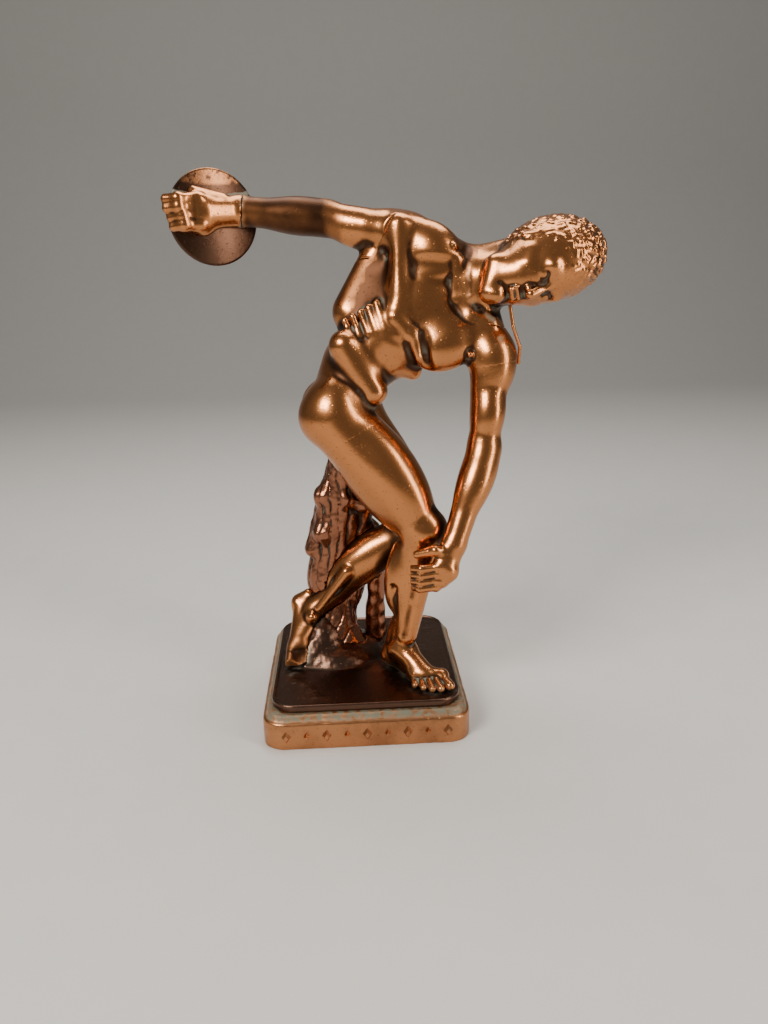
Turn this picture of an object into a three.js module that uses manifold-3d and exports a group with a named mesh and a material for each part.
// Figure trophy: a cast metal statuette of a discus thrower on a rectangular plinth.
// Units are millimetres, +Z is up. The origin is the middle of the plinth's underside;
// the plinth's front faces -Y and the thrower's head leans towards +X.
//
// The figure is modelled as clay: bones are tapered rods, muscles are ellipsoids, and they are
// blended into smooth distance fields. Each casting is then cut out of the blended body at its
// own joint, so neighbouring castings meet with one even seam.

import * as THREE from "three";
import { mergeVertices } from "three/addons/utils/BufferGeometryUtils.js";
import Module from "manifold-3d";

// ---------------------------------------------------------------- driving dimensions

const PLINTH_WIDTH = 120;
const PLINTH_DEPTH = 124;
const PLINTH_HEIGHT = 20;
const PLINTH_CORNER = 13;
const PLINTH_WALL = 3;
const PLINTH_ROOF = 4;
const SHELF_INSET = 3.5;
const TERRAIN_THICKNESS = 4;
const TERRAIN_INSET = 5.5;
const GROUND = PLINTH_HEIGHT + TERRAIN_THICKNESS;
const FLOOR = 24; // height of the ground in the clay figure, before it is set on the plinth

const SEAM = 0.6; // gap between two castings
const REST = 1.2; // gap between the figure and what carries it
const FIT = 0.3; // clearance of pins, studs and plates

const PIN_RADIUS = 2.4;
const PIN_LENGTH = 17;
const STUD_RADIUS = 2;
const NUT_WIDTH = 8;
const NUT_THICKNESS = 3.2;
const WASHER_RADIUS = 5.5;
const WASHER_THICKNESS = 0.8;

const DISCUS_RADIUS = 25.5;
const DISCUS_HALF_THICKNESS = 3.6;
const DISCUS_RIM = 1.1;

const PLATE_THICKNESS = 1.6;
const FELT_THICKNESS = 1.2;
const SCREW_RADIUS = 1.4;

// Sampling step of each clay casting.
const STEP = {
  head: 4.8,
  torso: 6.8,
  right_arm: 5.2,
  right_hand: 2.8,
  left_arm: 4.6,
  right_leg: 5.9,
  left_leg: 5.9,
  tree_trunk: 6,
  support_post: 4.4,
  ground_mound: 5.6,
};

// ---------------------------------------------------------------- vectors

const add = (a, b) => [a[0] + b[0], a[1] + b[1], a[2] + b[2]];
const sub = (a, b) => [a[0] - b[0], a[1] - b[1], a[2] - b[2]];
const scale = (a, s) => [a[0] * s, a[1] * s, a[2] * s];
const dot = (a, b) => a[0] * b[0] + a[1] * b[1] + a[2] * b[2];
const length = (a) => Math.hypot(a[0], a[1], a[2]);
const unit = (a) => scale(a, 1 / length(a));
const cross = (a, b) => [
  a[1] * b[2] - a[2] * b[1],
  a[2] * b[0] - a[0] * b[2],
  a[0] * b[1] - a[1] * b[0],
];
const mix = (a, b, t) => add(a, scale(sub(b, a), t));

// A body frame: place(right, front, up) gives the point at those distances from the origin,
// each times the frame's stretch.
function bodyFrame(origin, up, front, stretch = [1, 1, 1]) {
  const u = unit(up);
  const f = unit(sub(front, scale(u, dot(front, u))));
  const r = cross(f, u);
  const [sx, sy, sz] = stretch;
  const place = (x, y, z) =>
    add(origin, add(scale(r, x * sx), add(scale(f, y * sy), scale(u, z * sz))));
  return { place, right: r, front: f, up: u };
}

// ---------------------------------------------------------------- clay

// The smooth minimum of two distances.
function blend(a, b, k) {
  const h = Math.max(k - Math.abs(a - b), 0) / k;
  return Math.min(a, b) - (h * h * k) / 4;
}

class Clay {
  constructor() {
    this.shapes = [];
  }

  put(distance, k) {
    this.shapes.push({ distance, k, cut: false });
    return this;
  }

  // A tapered rod from a to b. flat squeezes it along one direction by the given share.
  bone(a, b, ra, rb, k = 3, flat = null, share = 1) {
    const ba = sub(b, a);
    const size = dot(ba, ba);
    const w = flat ? unit(flat) : null;
    return this.put((p) => {
      const pa = sub(p, a);
      const t = size > 1e-9 ? Math.min(1, Math.max(0, dot(pa, ba) / size)) : 0;
      let off = sub(pa, scale(ba, t));
      if (w) off = add(off, scale(w, dot(off, w) * (1 / share - 1)));
      return length(off) - (ra + (rb - ra) * t);
    }, k);
  }

  ball(c, r, k = 3) {
    return this.bone(c, c, r, r, k);
  }

  // An ellipsoid from a to b, width across, and depth towards the face direction.
  muscle(a, b, width, depth, face, k = 3) {
    const c = mix(a, b, 0.5);
    const half = length(sub(b, a)) / 2;
    const u = unit(sub(b, a));
    const n = unit(sub(face, scale(u, dot(face, u))));
    const s = cross(n, u);
    return this.put((p) => {
      const q = sub(p, c);
      const v = [dot(q, u) / half, dot(q, s) / width, dot(q, n) / depth];
      const k0 = length(v) + 1e-9;
      const k1 = length([v[0] / half, v[1] / width, v[2] / depth]) + 1e-9;
      return (k0 * (k0 - 1)) / k1;
    }, k);
  }

  // A rounded furrow pressed into the clay from a to b.
  groove(a, b, radius, k = 2) {
    const ba = sub(b, a);
    const size = Math.max(dot(ba, ba), 1e-9);
    const distance = (p) => {
      const pa = sub(p, a);
      const t = Math.min(1, Math.max(0, dot(pa, ba) / size));
      return length(sub(pa, scale(ba, t))) - radius;
    };
    this.shapes.push({ distance, k, cut: true });
    return this;
  }

  distance(p) {
    let d = 1e3;
    for (const shape of this.shapes) {
      const e = shape.distance(p);
      if (!shape.cut) d = blend(d, e, shape.k);
      else d = -blend(-d, e, shape.k);
    }
    return d;
  }
}

// ---------------------------------------------------------------- skeleton

const hipR = [-11, -5, 179];
const kneeR = [36, -21, 115];
const ankleR = [23, -20, 40];
const heelR = [18, -11, 31];

const hipL = [-4, 24, 180];
const kneeL = [32, 8, 107];
const ankleL = [-30, 12, 53];
const heelL = [-41, 17, 58];

const shoulderR = [34, 8, 276];
const elbowR = [-12, 22, 286.3];
const wristR = [-59, 20, 291];

const shoulderL = [75, -11, 213];
const elbowL = [71, -20, 163];
const wristL = [52, -38, 112];

const neckBase = [70, -1, 251];
const headCentre = [98.5, -18.5, 259];

const pelvis = bodyFrame([-8, 11, 189], [0.5, 0, 0.87], [0.87, -0.25, -0.44]);
const chest = bodyFrame([38, 6, 241], [0.9, -0.05, 0.43], [-0.1, -0.97, 0.18]);
const HEAD_STRETCH = [0.95, 0.95, 1.18]; // a long head: width, depth and height
const head = bodyFrame(headCentre, [0.96, -0.1, 0.2], [-0.06, -0.85, -0.52], HEAD_STRETCH);

// ---------------------------------------------------------------- torso

const torso = new Clay();
{
  const at = chest.place;
  const back = scale(chest.front, -1);
  torso.muscle(at(0, 0, -36), at(0, 0, 29), 29, 20, chest.front, 4); // rib cage
  torso.bone([1, 9, 205], [20, 5, 222], 20, 21, 8, chest.front, 0.95); // belly
  torso.muscle([-17, 12, 172], [3, 10, 206], 30, 17, pelvis.front, 8); // pelvis
  torso.muscle([-28, -3, 169], [-2, -4, 195], 16, 15, [0, -1, 0], 6); // right buttock
  torso.muscle([-28, 23, 170], [-4, 24, 194], 16, 15, [0, 1, 0], 6); // left buttock
  torso.bone([-5, -9, 216], [12, -11, 191], 8, 8, 5); // right flank roll
  torso.bone([6, 34, 214], [14, 30, 196], 8, 8, 6); // left flank roll
  torso.bone([14, 12, 262], [1, 11, 236], 10.5, 12.5, 7); // right side of the back
  torso.bone([52, 14, 216], [24, 16, 210], 11, 11, 7); // left side of the back
  torso.bone([-5, 22, 210], [40, 22, 252], 11, 11, 8); // back muscles along the spine
  torso.muscle(at(4, 14, 22), at(36, 12, 12), 14, 9, chest.front, 3); // right breast
  torso.muscle([64, -12, 224], [34, -12, 211], 13.5, 10, chest.front, 3); // left breast
  torso.bone([66, 2, 257], [35, 8, 274], 11.5, 12, 6); // right trapezius and shoulder
  torso.bone([66, 0, 244], shoulderL, 12, 12, 6); // left trapezius and shoulder
  torso.bone(neckBase, [80, -6, 254], 15, 14, 5); // neck root
  for (let i = 0; i < 4; i++) {
    const rib = [-2 + 5.6 * i, -9.5 - 1.6 * i, 234 - 1.5 * i];
    torso.bone(rib, add(rib, [4.5, -1, -10]), 2.8, 2.4, 3.5); // ribs and serratus
  }
  torso.groove(at(-2, 25, -4), at(-2, 25, 24), 2.2, 3); // breastbone
  torso.groove([16, -22, 222], [30, -17, 203], 1.6, 3); // lower rim of the ribs
}

const neck = new Clay();
neck.bone(neckBase, [92, -11, 256], 14.5, 13, 4);
neck.bone([64, 6, 262], [96, -4, 268], 7, 8, 5); // nape
neck.bone([66, -10, 244], [88, -14, 246], 5, 6, 4); // front tendon

// ---------------------------------------------------------------- head

const skull = new Clay();
{
  const at = head.place;
  skull.muscle(at(0, -4, -17), at(0, -4, 29.5), 21, 23.6, head.front, 4); // cranium with hair
  skull.muscle(at(0, 4, -26), at(0, 6, 16), 16, 16, head.front, 5); // face
  skull.bone(at(-9, 4, -19), at(0, 14, -24), 6, 5, 4); // left jaw
  skull.bone(at(9, 4, -19), at(0, 14, -24), 6, 5, 4); // right jaw
  skull.bone(at(-9, 17, 4), at(9, 17, 4), 3.4, 3.4, 3); // brow
  skull.bone(at(0, 20, 2), at(0, 24.5, -7.5), 1.9, 2.9, 2.4); // nose
  skull.bone(at(-3.5, 20, -13.2), at(3.5, 20, -13.2), 2, 2, 1.6); // lips
  skull.ball(at(0, 17.5, -21.5), 4.2, 3); // chin
  skull.groove(at(-7.5, 23, -0.5), at(-5, 24, -1), 3, 2); // left eye socket
  skull.groove(at(7.5, 23, -0.5), at(5, 24, -1), 3, 2); // right eye socket
  for (const side of [-1, 1]) {
    skull.muscle(at(side * 20, 0, -6), at(side * 21, -2, 5), 3.6, 2.4, [0, 0, 1], 1.5); // ear
  }
}

// ---------------------------------------------------------------- arms and hands

const armR = new Clay();
armR.bone([30, 9, 276.5], elbowR, 11.4, 9, 4);
armR.bone(elbowR, wristR, 9.2, 7.8, 4);
armR.muscle([42, 4, 275.5], [8, 13, 281], 11.5, 12.5, [0, -1, 0], 4); // deltoid
armR.muscle([18, 14, 274], [-10, 20, 282], 8, 8, [0, 0, -1], 4); // triceps
armR.muscle([-4, 22, 286.5], [-48, 21, 289.5], 10, 10, [0, -1, 0], 4); // forearm

const discusCentre = [-75, 19, 288];
const discusNormal = unit([0.5, -0.86, 0.05]);
const palm = bodyFrame([-75.5, 9.5, 290], [-0.86, -0.5, 0], discusNormal);

const handR = new Clay();
handR.bone(wristR, palm.place(0, 0.4, 2), 8, 8.2, 4, palm.front, 0.75);
for (let i = 0; i < 4; i++) {
  const across = -6.6 + 4.4 * i;
  const knuckle = palm.place(across, 1.5, 6);
  const middle = palm.place(across * 1.08, 2, 17);
  const tip = palm.place(across * 1.08, -4, 22.5);
  handR.bone(palm.place(across * 0.7, 0, -4), knuckle, 3, 2.7, 2);
  handR.bone(knuckle, middle, 2.7, 2.4, 1.4);
  handR.bone(middle, tip, 2.4, 2, 1.4);
}
handR.bone(palm.place(-7, 0, -8), palm.place(-11, -2, 7), 3.2, 2.6, 2); // thumb

const armL = new Clay();
armL.bone(shoulderL, elbowL, 10.8, 8.4, 4);
armL.bone(elbowL, wristL, 9.2, 6.8, 4);
armL.muscle([80, -12, 225], [75, -14, 188], 11.6, 12, [0, -1, 0], 4); // deltoid
armL.muscle([76, -18, 196], [71, -22, 168], 8.5, 8.5, [0, -1, 0], 4); // biceps
armL.muscle([75, -20, 166], [58, -33, 128], 9.8, 9.6, [0, -1, 0], 4); // forearm

const handL = new Clay();
handL.bone(wristL, [46.5, -42, 101], 6.8, 7.6, 3, [0.2, -1, 0], 0.75);
handL.bone([48, -42, 97], [44, -43, 93], 6, 5, 3);
for (let i = 0; i < 4; i++) {
  const drop = 3.9 * i;
  const knuckle = [42 - 0.4 * i, -44, 101 - drop];
  const middle = [33 - 0.3 * i, -43.5, 100 - drop];
  const tip = [26.5 + 0.9 * i, -38.5, 98.5 - drop];
  handL.bone(knuckle, middle, 2.8, 2.5, 1.6);
  handL.bone(middle, tip, 2.5, 2.1, 1.4);
}
handL.bone([49, -41, 108], [41, -43, 110.5], 3.6, 3.2, 2);
handL.bone([41, -43, 110.5], [31, -39, 107], 3.1, 2.4, 2); // thumb

// ---------------------------------------------------------------- legs and feet

const legR = new Clay();
legR.bone(hipR, kneeR, 19.5, 11.6, 4);
legR.muscle([-3, -8, 182], [39, -22, 118], 16, 16, [0.8, 0, 0.6], 5); // quadriceps
legR.muscle([-14, -2, 168], [28, -14, 111], 13, 11, [-0.8, 0, -0.6], 5); // hamstrings
legR.ball(add(kneeR, [3, -1, 1]), 11.6, 4); // knee cap
legR.bone(kneeR, ankleR, 11.4, 6.2, 4);
legR.muscle([31, -14, 112], [21, -15, 60], 12.2, 12, [-1, 0.5, 0], 4); // calf
legR.bone([37, -26, 100], [27, -25, 50], 6.5, 4.5, 4); // shin bone
legR.ball(add(ankleR, [-5.5, 0, -1]), 3.2, 3);
legR.ball(add(ankleR, [5.5, -2, 0]), 3.4, 3);
legR.bone(add(ankleR, [-2, 6, 14]), heelR, 4.6, 6.6, 4); // heel cord and heel
legR.bone([24, -22, 38], [36, -35, 30], 7.4, 5.4, 4); // instep
legR.bone(heelR, [32, -34, 29], 6.6, 5, 4); // outer edge of the foot
legR.bone([30, -34, 28.4], [45, -37, 28.8], 4.3, 4.8, 3);
const toesR = [
  { root: [45, -38, 28.6], tip: [49, -46, 27.4], r: 3.4 },
  { root: [41, -40, 28.4], tip: [43.6, -48, 26.8], r: 2.6 },
  { root: [37, -40, 28.2], tip: [38.6, -47.5, 26.7], r: 2.5 },
  { root: [33, -39, 27.8], tip: [33.6, -45.5, 26.6], r: 2.4 },
  { root: [29.5, -37, 27.4], tip: [29, -42, 26.5], r: 2.3 },
];
for (const toe of toesR) legR.bone(toe.root, toe.tip, toe.r, toe.r * 0.86, 1.6);

const legL = new Clay();
legL.bone(hipL, kneeL, 19.5, 12.5, 4);
legL.muscle([4, 20, 178], [36, 6, 112], 15, 15, [0.8, 0, 0.6], 5); // quadriceps
legL.ball(kneeL, 12.2, 4);
legL.bone(kneeL, ankleL, 10.5, 7, 4);
legL.muscle([30, 10, 108], [-22, 12, 68], 12.5, 13, [-0.6, 0, 0.8], 4); // calf
legL.bone(ankleL, [-38, 3, 38], 8, 7.4, 4); // instep
legL.bone(add(ankleL, [-4, 5, 8]), heelL, 5, 7, 4); // heel cord and heel
legL.bone(heelL, [-43, 1, 37], 7, 7, 4); // sole
legL.ball([-30, 5, 53], 4, 3); // ankle bone
legL.bone([-47, -3, 34], [-36, -2, 35], 5.2, 5, 3);
for (let i = 0; i < 5; i++) {
  const side = -49 + 3.4 * i;
  const root = [side + 1, -5, 33.5];
  const tip = [side, -21 + 1.6 * i, 27];
  legL.bone(root, tip, i === 0 ? 3.6 : 2.9, i === 0 ? 3 : 2.3, 1.8);
}

// ---------------------------------------------------------------- tree trunk and ground

const trunk = new Clay();
trunk.bone([-17, 17, 20], [-19, 22, 72], 15, 14, 5);
trunk.bone([-19, 22, 72], [-14, 20, 112], 15, 13.5, 6);
trunk.bone([-14, 20, 112], [-6, 14, 152], 13.5, 11, 6);
trunk.bone([-8, 22, 60], [4, 22, 100], 9, 10, 6);
trunk.bone([-6, 20, 104], [6, 16, 124], 8, 8, 5);
trunk.ball([-22, 10, 128], 6.5, 3); // knots
trunk.ball([-7, 6, 127], 6, 3);
trunk.ball([3, 8, 122], 4.5, 3);
trunk.ball([-24, 8, 104], 5.5, 3);
trunk.bone([-30, 16, 92], [-26, 18, 108], 5, 4, 3);
for (let i = 0; i < 5; i++) {
  const turn = -0.55 * Math.PI + 0.36 * i;
  const foot = [-16 + 21 * Math.sin(turn + 1.2), 14 - 15 * Math.cos(turn + 1.2), 27];
  trunk.bone([-17, 14, 50], foot, 7, 4, 4); // root flare
}

const post = new Clay();
post.bone([8, 20, 20], [10, 13, 86], 5.2, 5.8, 4);
post.bone([9, 19, 34], [8, 19, 50], 6.6, 5.2, 4);

const mound = new Clay();
mound.muscle([-46, 8, 20], [14, 12, 20], 26, 17, [0, 0, 1], 6);
mound.bone([-40, 14, 22], [-24, 12, 38], 9, 13, 8);
mound.bone([-44, -8, 20], [-26, 4, 36], 5, 9, 7); // ridge under the toes

// ---------------------------------------------------------------- polygons from clay

// The twelve edges of a grid cell as pairs of corner numbers, and its six faces as corner rings.
const CORNERS = [0, 1, 2, 3, 4, 5, 6, 7].map((c) => [c & 1, (c >> 1) & 1, (c >> 2) & 1]);
const EDGES = [];
for (const bit of [1, 2, 4])
  for (let c = 0; c < 8; c++) if (!(c & bit)) EDGES.push([c, c | bit]);
const FACES = [
  [0, 1, 3, 2],
  [4, 5, 7, 6],
  [0, 1, 5, 4],
  [2, 3, 7, 6],
  [0, 2, 6, 4],
  [1, 3, 7, 5],
];
const edgeOf = (a, b) => EDGES.findIndex(([p, q]) => (p === a && q === b) || (p === b && q === a));
const FACE_EDGES = FACES.map((ring) => ring.map((c, i) => edgeOf(c, ring[(i + 1) % 4])));

// Walks a grid of the given step through the box and returns the skin of field < 0 as triangles.
// Every separate fold of the skin inside a cell gets a corner of its own, midway between the
// points where it crosses the cell's edges.
function skin(field, low, high, step) {
  const [nx, ny, nz] = [0, 1, 2].map((i) => Math.ceil((high[i] - low[i]) / step) + 1);
  const index = (i, j, k) => (i * ny + j) * nz + k;
  const value = new Float64Array(nx * ny * nz);
  for (let i = 0; i < nx; i++)
    for (let j = 0; j < ny; j++)
      for (let k = 0; k < nz; k++) {
        const rim = !i || !j || !k || i === nx - 1 || j === ny - 1 || k === nz - 1;
        const p = [low[0] + i * step, low[1] + j * step, low[2] + k * step];
        value[index(i, j, k)] = rim ? step : field(p);
      }

  const vertex = new Int32Array(12 * nx * ny * nz).fill(-1);
  const positions = [];
  for (let i = 0; i < nx - 1; i++)
    for (let j = 0; j < ny - 1; j++)
      for (let k = 0; k < nz - 1; k++) {
        const v = CORNERS.map(([a, b, c]) => value[index(i + a, j + b, k + c)]);
        const inside = v.map((d) => d < 0);
        if (inside.every((s) => s === inside[0])) continue;
        const crossing = EDGES.map(([a, b]) => inside[a] !== inside[b]);
        const fold = EDGES.map((_, e) => e);
        const join = (a, b) => {
          const [from, to] = [fold[a], fold[b]];
          for (let e = 0; e < 12; e++) if (fold[e] === from) fold[e] = to;
        };
        FACES.forEach((ring, f) => {
          const hit = FACE_EDGES[f].filter((e) => crossing[e]);
          if (hit.length === 2) join(hit[0], hit[1]);
          if (hit.length === 4)
            ring.forEach((c, n) => {
              if (inside[c]) join(FACE_EDGES[f][n], FACE_EDGES[f][(n + 3) % 4]);
            });
        });
        for (const one of new Set(fold.filter((_, e) => crossing[e]))) {
          const sum = [0, 0, 0];
          let hits = 0;
          EDGES.forEach(([a, b], e) => {
            if (!crossing[e] || fold[e] !== one) return;
            const t = v[a] / (v[a] - v[b]);
            for (let m = 0; m < 3; m++)
              sum[m] += CORNERS[a][m] + t * (CORNERS[b][m] - CORNERS[a][m]);
            hits++;
            vertex[12 * index(i, j, k) + e] = positions.length / 3;
          });
          positions.push(
            low[0] + (i + sum[0] / hits) * step,
            low[1] + (j + sum[1] / hits) * step,
            low[2] + (k + sum[2] / hits) * step,
          );
        }
      }

  // One quad round every grid edge that the skin crosses, from the four cells that share it.
  const triangles = [];
  const along = [
    { end: [1, 0, 0], ring: [[0, 0, 0], [0, 1, 0], [0, 1, 1], [0, 0, 1]] },
    { end: [0, 1, 0], ring: [[0, 0, 0], [0, 0, 1], [1, 0, 1], [1, 0, 0]] },
    { end: [0, 0, 1], ring: [[0, 0, 0], [1, 0, 0], [1, 1, 0], [0, 1, 0]] },
  ];
  for (let i = 1; i < nx - 1; i++)
    for (let j = 1; j < ny - 1; j++)
      for (let k = 1; k < nz - 1; k++)
        for (const { end, ring } of along) {
          const here = value[index(i, j, k)] < 0;
          if (here === value[index(i + end[0], j + end[1], k + end[2])] < 0) continue;
          const [a, b, c, d] = ring.map(([x, y, z]) => {
            const start = x + 2 * y + 4 * z;
            const e = edgeOf(start, start + end[0] + 2 * end[1] + 4 * end[2]);
            return vertex[12 * index(i - x, j - y, k - z) + e];
          });
          if (here) triangles.push(a, b, c, a, c, d);
          else triangles.push(a, c, b, a, d, c);
        }
  const geometry = new THREE.BufferGeometry();
  geometry.setAttribute("position", new THREE.Float32BufferAttribute(positions, 3));
  geometry.setIndex(triangles);
  return geometry;
}

// ---------------------------------------------------------------- solids and cuts

const wasm = await Module();
wasm.setup();

function solid(geometry) {
  const g = geometry.clone();
  g.deleteAttribute("normal");
  g.deleteAttribute("uv");
  const merged = g.index && !geometry.getAttribute("normal") ? g : mergeVertices(g, 1e-4);
  return new wasm.Manifold(
    new wasm.Mesh({
      numProp: 3,
      vertProperties: new Float32Array(merged.attributes.position.array),
      triVerts: new Uint32Array(merged.index.array),
    }),
  );
}

function geometryOf(made) {
  const mesh = made.getMesh();
  const geometry = new THREE.BufferGeometry();
  geometry.setAttribute("position", new THREE.BufferAttribute(mesh.vertProperties, 3));
  geometry.setIndex(new THREE.BufferAttribute(mesh.triVerts, 1));
  return geometry;
}

// Turns +Y of a geometry to the given direction and moves its middle to the given point.
function aim(geometry, middle, direction) {
  const turn = new THREE.Quaternion().setFromUnitVectors(
    new THREE.Vector3(0, 1, 0),
    new THREE.Vector3(...unit(direction)),
  );
  return geometry.applyQuaternion(turn).translate(...middle);
}

function rod(middle, direction, radius, long, sides = 16) {
  return aim(new THREE.CylinderGeometry(radius, radius, long, sides), middle, direction);
}

// A rounded rectangle standing on z = low.
function slab(width, depth, corner, low, high, segments = 4) {
  const w = width / 2;
  const d = depth / 2;
  const shape = new THREE.Shape();
  shape.absarc(w - corner, d - corner, corner, 0, Math.PI / 2);
  shape.absarc(-w + corner, d - corner, corner, Math.PI / 2, Math.PI);
  shape.absarc(-w + corner, -d + corner, corner, Math.PI, 1.5 * Math.PI);
  shape.absarc(w - corner, -d + corner, corner, 1.5 * Math.PI, 2 * Math.PI);
  return new THREE.ExtrudeGeometry(shape, {
    depth: high - low,
    bevelEnabled: false,
    curveSegments: segments,
  }).translate(0, 0, low);
}

// ---------------------------------------------------------------- joints of the castings

// Each joint has a point, the direction from the torso into the limb, the line of the limb's
// bones and the reach around that line that belongs to the limb.
const joints = {
  head: {
    p: [74, -3, 251],
    n: unit([0.86, -0.32, 0.2]),
    reach: 29,
    line: [[80, -8, 256], head.place(0, 0, 9)],
  },
  armR: {
    p: [21, 11, 279],
    n: unit([-0.81, 0.15, 0.57]),
    reach: 19,
    line: [shoulderR, elbowR, [-110, 10, 290]],
  },
  armL: {
    p: [76, -12, 206.5],
    n: unit([0.14, -0.1, -0.98]),
    reach: 21,
    line: [shoulderL, elbowL, wristL, [30, -42, 90]],
  },
  legR: {
    p: [-1, -7, 168],
    n: unit([0.5, -0.15, -0.85]),
    reach: 34,
    line: [hipR, kneeR, ankleR, [38, -40, 26]],
  },
  legL: {
    p: [0, 22, 168],
    n: unit([0.45, -0.2, -0.87]),
    reach: 34,
    line: [hipL, kneeL, ankleL, [-44, 0, 36], [-46, -24, 26]],
  },
};

function nearLine(p, line) {
  let best = 1e3;
  for (let i = 0; i + 1 < line.length; i++) {
    const ba = sub(line[i + 1], line[i]);
    const pa = sub(p, line[i]);
    const t = Math.min(1, Math.max(0, dot(pa, ba) / dot(ba, ba)));
    best = Math.min(best, length(sub(pa, scale(ba, t))));
  }
  return best;
}

// How far a point lies outside the share of the body that belongs to the joint's limb.
function outsideLimb(p, joint, spare = 0) {
  return Math.max(-dot(sub(p, joint.p), joint.n), nearLine(p, joint.line) - joint.reach - spare);
}

// The whole skull belongs to the head, even where the chin hangs in front of the neck joint.
function outsideHead(p, spare = 0) {
  return Math.min(outsideLimb(p, joints.head, spare), skull.distance(p) - SEAM / 2);
}

const headFlesh = (p) => blend(blend(torso.distance(p), neck.distance(p), 5), skull.distance(p), 3);
const armFlesh = (p, arm, hand) =>
  blend(blend(torso.distance(p), arm.distance(p), 5), hand.distance(p), 3);
const legFlesh = (p, leg) => blend(torso.distance(p), leg.distance(p), 6);
const flesh = (p) =>
  Math.min(
    headFlesh(p),
    armFlesh(p, armR, handR),
    armFlesh(p, armL, handL),
    legFlesh(p, legR),
    legFlesh(p, legL),
  );

// How far a point lies on the wrong side of the surface between the two legs.
const otherLeg = (p, own, other) => (own.distance(p) - other.distance(p)) / 2;

const forearmR = unit(sub(wristR, elbowR));
const pastWrist = (p) => dot(sub(p, wristR), forearmR);

const castings = {
  head: (p) => Math.max(headFlesh(p), outsideHead(p) + SEAM / 2),
  right_arm: (p) =>
    Math.max(
      armFlesh(p, armR, handR),
      outsideLimb(p, joints.armR) + SEAM / 2,
      pastWrist(p) + SEAM / 2,
      SEAM - discusDistance(p),
    ),
  right_hand: (p) =>
    Math.max(armFlesh(p, armR, handR), SEAM / 2 - pastWrist(p), SEAM - discusDistance(p)),
  left_arm: (p) =>
    Math.max(
      armFlesh(p, armL, handL),
      outsideLimb(p, joints.armL) + SEAM / 2,
      SEAM - legR.distance(p),
    ),
  right_leg: (p) =>
    Math.max(
      legFlesh(p, legR),
      outsideLimb(p, joints.legR) + SEAM / 2,
      otherLeg(p, legR, legL) + SEAM / 2,
      FLOOR + FIT - p[2],
    ),
  left_leg: (p) =>
    Math.max(
      legFlesh(p, legL),
      outsideLimb(p, joints.legL) + SEAM / 2,
      otherLeg(p, legL, legR) + SEAM / 2,
      FLOOR + FIT - p[2],
    ),
  torso: (p) => {
    let d = Math.min(
      blend(torso.distance(p), neck.distance(p), 5),
      armFlesh(p, armR, handR),
      armFlesh(p, armL, handL),
      legFlesh(p, legR),
      legFlesh(p, legL),
    );
    d = Math.max(d, SEAM / 2 - outsideHead(p, 2.6));
    for (const joint of [joints.armR, joints.armL, joints.legR, joints.legL])
      d = Math.max(d, SEAM / 2 - outsideLimb(p, joint, 2.6));
    return d;
  },
};

function discusDistance(p) {
  const q = sub(p, discusCentre);
  const h = Math.abs(dot(q, discusNormal));
  const r = Math.sqrt(Math.max(0, dot(q, q) - h * h));
  const swell = 1 - Math.min(1, r / DISCUS_RADIUS) ** 2;
  const half = DISCUS_RIM + (DISCUS_HALF_THICKNESS - DISCUS_RIM) * swell;
  return Math.max(h - half, r - DISCUS_RADIUS);
}

// ---------------------------------------------------------------- supports and ground as clay

castings.tree_trunk = (p) =>
  Math.max(
    trunk.distance(p),
    REST - flesh(p),
    REST - post.distance(p),
    REST - mound.distance(p),
    FLOOR + FIT - p[2],
  );
castings.support_post = (p) =>
  Math.max(post.distance(p), REST - flesh(p), REST - mound.distance(p), FLOOR + FIT - p[2]);
castings.ground_mound = (p) => Math.max(mound.distance(p), REST - flesh(p), FLOOR - 2 - p[2]);

// ---------------------------------------------------------------- finished solids

const LOW = [-116, -70, FLOOR - 14];
const HIGH = [150, 68, 330];

// Casts a field as one solid. A grid can pinch the skin where two folds share a cell, and a
// slightly finer grid opens the pinch.
function cast(field, step) {
  for (let finer = 1; finer > 0.7; finer -= 0.025) {
    try {
      return solid(skin(field, LOW, HIGH, step * finer));
    } catch (error) {
      if (error.code !== "NotManifold") throw error;
    }
  }
  throw new Error("the clay has a fold thinner than its grid");
}

const solids = {};
for (const [name, field] of Object.entries(castings)) {
  const lumps = cast(field, STEP[name]).decompose();
  lumps.sort((a, b) => b.volume() - a.volume());
  solids[name] = lumps[0];
}

function drill(name, geometry) {
  solids[name] = solids[name].subtract(solid(geometry));
}

// Dowels across the joints of the castings. The wrist's one sits back from the discus, further
// for a thicker dowel.
const wristPinMiddle = add(wristR, scale(forearmR, -0.5 * PIN_RADIUS));
const dowels = {
  neck_pin: [joints.head.p, joints.head.n, PIN_RADIUS, PIN_LENGTH, "head", "torso"],
  right_shoulder_pin: [joints.armR.p, joints.armR.n, PIN_RADIUS, PIN_LENGTH, "right_arm", "torso"],
  left_shoulder_pin: [joints.armL.p, joints.armL.n, PIN_RADIUS, PIN_LENGTH, "left_arm", "torso"],
  right_hip_pin: [joints.legR.p, joints.legR.n, PIN_RADIUS * 1.2, PIN_LENGTH * 1.2, "right_leg", "torso"],
  left_hip_pin: [joints.legL.p, joints.legL.n, PIN_RADIUS * 1.2, PIN_LENGTH * 1.2, "left_leg", "torso"],
  wrist_pin: [wristPinMiddle, forearmR, PIN_RADIUS * 0.75, PIN_LENGTH * 0.65, "right_hand", "right_arm"],
};
for (const [name, [p, n, radius, long, outer, inner]] of Object.entries(dowels)) {
  const socket = () => rod(p, n, radius + FIT, long + 2 * FIT);
  drill(outer, socket());
  drill(inner, socket());
  solids[name] = solid(rod(p, n, radius, long));
}

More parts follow.
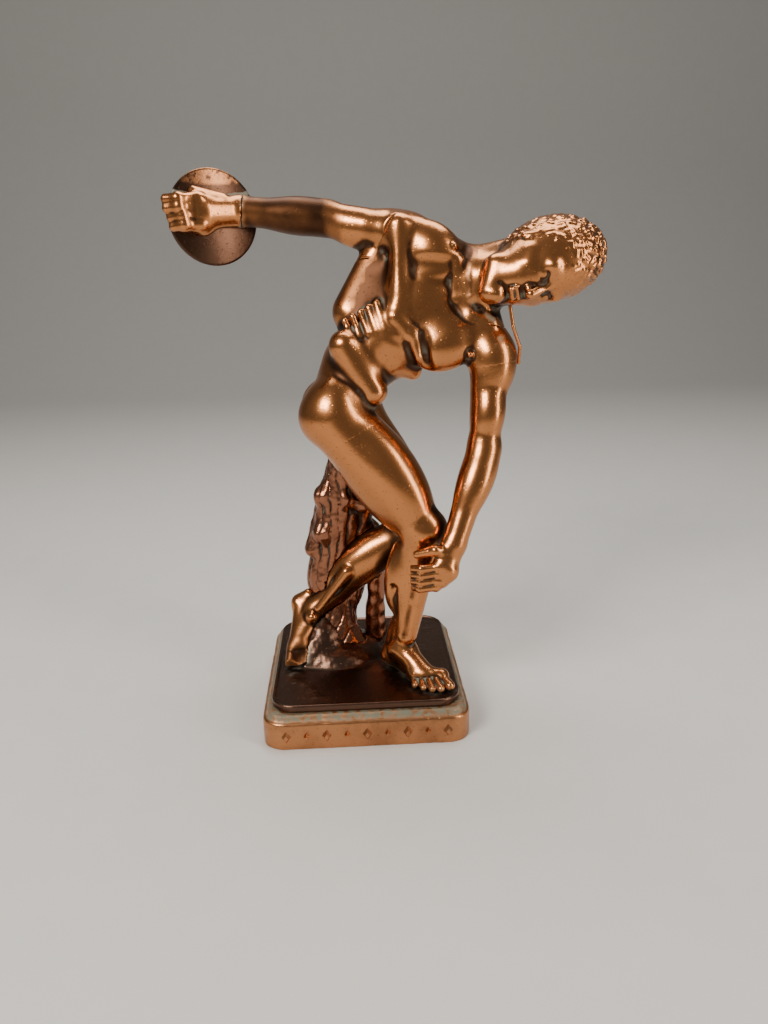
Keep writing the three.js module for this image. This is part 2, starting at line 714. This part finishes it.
// The discus: a lens with a flat rim, turned about its own axis.
const profile = [[0, -DISCUS_HALF_THICKNESS]];
for (let i = 1; i <= 3; i++) {
  const r = i / 3;
  const swell = (DISCUS_HALF_THICKNESS - DISCUS_RIM) * (1 - r * r);
  profile.push([DISCUS_RADIUS * r, -DISCUS_RIM - swell]);
}
for (let i = profile.length - 1; i >= 0; i--) profile.push([profile[i][0], -profile[i][1]]);
const discusShape = () =>
  aim(
    new THREE.LatheGeometry(profile.map(([x, y]) => new THREE.Vector2(x, y)), 32),
    discusCentre,
    discusNormal,
  );
solids.discus = solid(discusShape());

// The rivet holds the discus in the palm and stays below both surfaces.
const rivetMiddle = add(discusCentre, add(scale(discusNormal, 3.2), scale(palm.up, 4)));
const rivetLength = 8.4;
drill("discus", rod(rivetMiddle, discusNormal, 1.5 + FIT, rivetLength + 2 * FIT, 12));
drill("right_hand", rod(rivetMiddle, discusNormal, 1.5 + FIT, rivetLength + 2 * FIT, 12));
solids.discus_rivet = solid(rod(rivetMiddle, discusNormal, 1.5, rivetLength, 12));

// A thin wire brace from under the jaw to the outside of the left shoulder.
const bracePath = new THREE.CatmullRomCurve3(
  [[83.5, -19, 240], [85.5, -20, 228], [90, -17.5, 217], [90.5, -13, 208]].map(
    (p) => new THREE.Vector3(...p),
  ),
);
const braceShape = new THREE.Shape();
braceShape.absarc(0, 0, 0.9, 0, 2 * Math.PI);
solids.chin_brace = solid(
  new THREE.ExtrudeGeometry(braceShape, { steps: 10, curveSegments: 4, extrudePath: bracePath }),
)
  .subtract(solids.head)
  .subtract(solids.torso)
  .subtract(solids.left_arm);

// ---------------------------------------------------------------- plinth and ground

// The figure is lifted from its own floor to the ground of this plinth.
for (const name of Object.keys(solids))
  solids[name] = solids[name].translate([0, 0, GROUND - FLOOR]);

const terrainWidth = PLINTH_WIDTH - 2 * TERRAIN_INSET;
const terrainDepth = PLINTH_DEPTH - 2 * TERRAIN_INSET;
const terrainCorner = PLINTH_CORNER + 1;
const bandTop = PLINTH_HEIGHT - 3.4;

// The plinth: a straight band, a sloping shelf above it and a cavity open downwards.
let plinth = solid(slab(PLINTH_WIDTH, PLINTH_DEPTH, PLINTH_CORNER, 0, bandTop));
const SHELF_STEPS = 2;
for (let i = 0; i < SHELF_STEPS; i++) {
  const inset = (SHELF_INSET * (i + 1)) / SHELF_STEPS;
  const low = bandTop + ((PLINTH_HEIGHT - bandTop) * i) / SHELF_STEPS;
  const high = bandTop + ((PLINTH_HEIGHT - bandTop) * (i + 1)) / SHELF_STEPS;
  const tier = slab(
    PLINTH_WIDTH - 2 * inset,
    PLINTH_DEPTH - 2 * inset,
    PLINTH_CORNER - inset * 0.4,
    low - 0.01,
    high,
  );
  plinth = plinth.add(solid(tier));
}
const cavityWidth = PLINTH_WIDTH - 2 * PLINTH_WALL;
const cavityDepth = PLINTH_DEPTH - 2 * PLINTH_WALL;
const cavityCorner = PLINTH_CORNER - PLINTH_WALL;
const cavityTop = PLINTH_HEIGHT - PLINTH_ROOF;
plinth = plinth.subtract(solid(slab(cavityWidth, cavityDepth, cavityCorner, -1, cavityTop)));

// Small raised lozenges along the front band take the place of lettering.
const LOZENGES = 9;
const LOZENGE_PITCH = 11.5;
const LOZENGE_HEIGHT = 7;
const LOZENGE_RELIEF = 0.7;
for (let i = 0; i < LOZENGES; i++) {
  const x = (i - (LOZENGES - 1) / 2) * LOZENGE_PITCH;
  const half = i % 2 ? 0.62 : 1;
  const shape = new THREE.Shape([
    new THREE.Vector2(0, (-LOZENGE_HEIGHT / 2) * half),
    new THREE.Vector2(3.2 * half, 0),
    new THREE.Vector2(0, (LOZENGE_HEIGHT / 2) * half),
    new THREE.Vector2(-3.2 * half, 0),
  ]);
  const lozenge = new THREE.ExtrudeGeometry(shape, {
    depth: LOZENGE_RELIEF + 0.5,
    bevelEnabled: false,
  })
    .rotateX(Math.PI / 2)
    .translate(x, -PLINTH_DEPTH / 2 + 0.5, bandTop / 2);
  plinth = plinth.add(solid(lozenge));
}
solids.plinth = plinth;

// The ground: a slab with a low lip round its edge and the mound that carries the trunk.
const lip = 1.6;
let terrain = solid(
  slab(terrainWidth, terrainDepth, terrainCorner, PLINTH_HEIGHT + FIT, GROUND + 0.8),
).subtract(
  solid(
    slab(terrainWidth - 2 * lip, terrainDepth - 2 * lip, terrainCorner - lip, GROUND, GROUND + 2),
  ),
);
terrain = terrain.add(solids.ground_mound);
delete solids.ground_mound;
solids.terrain = terrain;

// ---------------------------------------------------------------- studs, washers and nuts

const nutTop = cavityTop - WASHER_THICKNESS - 2 * FIT;
const studs = {
  foot: { x: 22, y: -17, top: GROUND + 17, into: "right_leg" },
  trunk: { x: -17, y: 17, top: GROUND + 27, into: "tree_trunk" },
  toe: { x: -43, y: -3, top: GROUND + 12, into: "left_leg" },
};
for (const [name, stud] of Object.entries(studs)) {
  const low = nutTop - NUT_THICKNESS - 1.5;
  const upright = (radius, a, b, sides = 12) =>
    new THREE.CylinderGeometry(radius, radius, b - a, sides)
      .rotateX(Math.PI / 2)
      .translate(stud.x, stud.y, (a + b) / 2);
  drill(stud.into, upright(STUD_RADIUS + FIT, low, stud.top + FIT));
  drill("terrain", upright(STUD_RADIUS + FIT, low, stud.top + FIT));
  drill("plinth", upright(STUD_RADIUS + FIT, low, GROUND));
  solids[`${name}_stud`] = solid(upright(STUD_RADIUS, low, stud.top));
  solids[`${name}_washer`] = solid(
    upright(WASHER_RADIUS, cavityTop - FIT - WASHER_THICKNESS, cavityTop - FIT, 20),
  ).subtract(solid(upright(STUD_RADIUS + FIT, low, GROUND)));
  solids[`${name}_nut`] = solid(
    upright(NUT_WIDTH / Math.sqrt(3), nutTop - NUT_THICKNESS, nutTop, 6),
  ).subtract(solid(upright(STUD_RADIUS + FIT, low, GROUND)));
}

// Plaster fills the cavity round the nuts; the closing plate is screwed to it from below.
const plateLow = FELT_THICKNESS + 0.2;
const plasterLow = plateLow + PLATE_THICKNESS + FIT;
let plaster = solid(
  slab(cavityWidth - 2 * FIT, cavityDepth - 2 * FIT, cavityCorner, plasterLow, cavityTop - FIT),
);
for (const stud of Object.values(studs)) {
  const pocket = new THREE.CylinderGeometry(WASHER_RADIUS + 1, WASHER_RADIUS + 1, 20, 20)
    .rotateX(Math.PI / 2)
    .translate(stud.x, stud.y, cavityTop + 10 - 8);
  plaster = plaster.subtract(solid(pocket));
}
let plate = solid(
  slab(cavityWidth - 2 * FIT, cavityDepth - 2 * FIT, cavityCorner, plateLow, plateLow + PLATE_THICKNESS),
);
const screwX = cavityWidth / 2 - 11;
const screwY = cavityDepth / 2 - 11;
for (const [i, [sx, sy]] of [[-1, -1], [1, -1], [1, 1], [-1, 1]].entries()) {
  const at = (radius, a, b, sides = 12, tip = radius) =>
    new THREE.CylinderGeometry(radius, tip, b - a, sides)
      .rotateX(Math.PI / 2)
      .translate(sx * screwX, sy * screwY, (a + b) / 2);
  const headTop = plateLow + 1;
  plate = plate
    .subtract(solid(at(SCREW_RADIUS + FIT, plateLow - 1, plateLow + 3)))
    .subtract(solid(at(SCREW_RADIUS * 1.9 + FIT, plateLow - 1, headTop)));
  plaster = plaster.subtract(solid(at(SCREW_RADIUS + FIT, plasterLow - 1, plasterLow + 6)));
  solids[`plate_screw_${i + 1}`] = solid(at(SCREW_RADIUS, headTop - 0.4, plasterLow + 5.4)).add(
    solid(at(SCREW_RADIUS * 1.9, plateLow + 0.1, headTop - FIT)),
  );
}
solids.plaster_fill = plaster;
solids.base_plate = plate;
solids.felt_pad = solid(
  slab(cavityWidth - 2 * FIT, cavityDepth - 2 * FIT, cavityCorner, 0, FELT_THICKNESS),
);

// ---------------------------------------------------------------- materials and scene

const copper = { color: 0xb8703f, roughness: 0.32, metalness: 1 };
const brown = { color: 0x4a3329, roughness: 0.42, metalness: 0.8 };
const ground = { color: 0x5d4a3e, roughness: 0.6, metalness: 0.6 };
const steel = { color: 0x8c8f92, roughness: 0.4, metalness: 1 };
const looks = {
  discus: brown,
  tree_trunk: brown,
  support_post: brown,
  terrain: ground,
  plinth: { color: 0xa9663c, roughness: 0.38, metalness: 1 },
  plaster_fill: { color: 0xe2ddd0, roughness: 0.9, metalness: 0 },
  felt_pad: { color: 0x2f4a38, roughness: 0.95, metalness: 0 },
  chin_brace: brown,
};

const figure_trophy = new THREE.Group();
for (const [name, made] of Object.entries(solids)) {
  const hardware = /pin|rivet|stud|washer|nut|screw|plate/.test(name);
  const look = looks[name] ?? (hardware ? steel : copper);
  const mesh = new THREE.Mesh(geometryOf(made), new THREE.MeshStandardMaterial(look));
  mesh.name = name;
  figure_trophy.add(mesh);
}

export default figure_trophy;
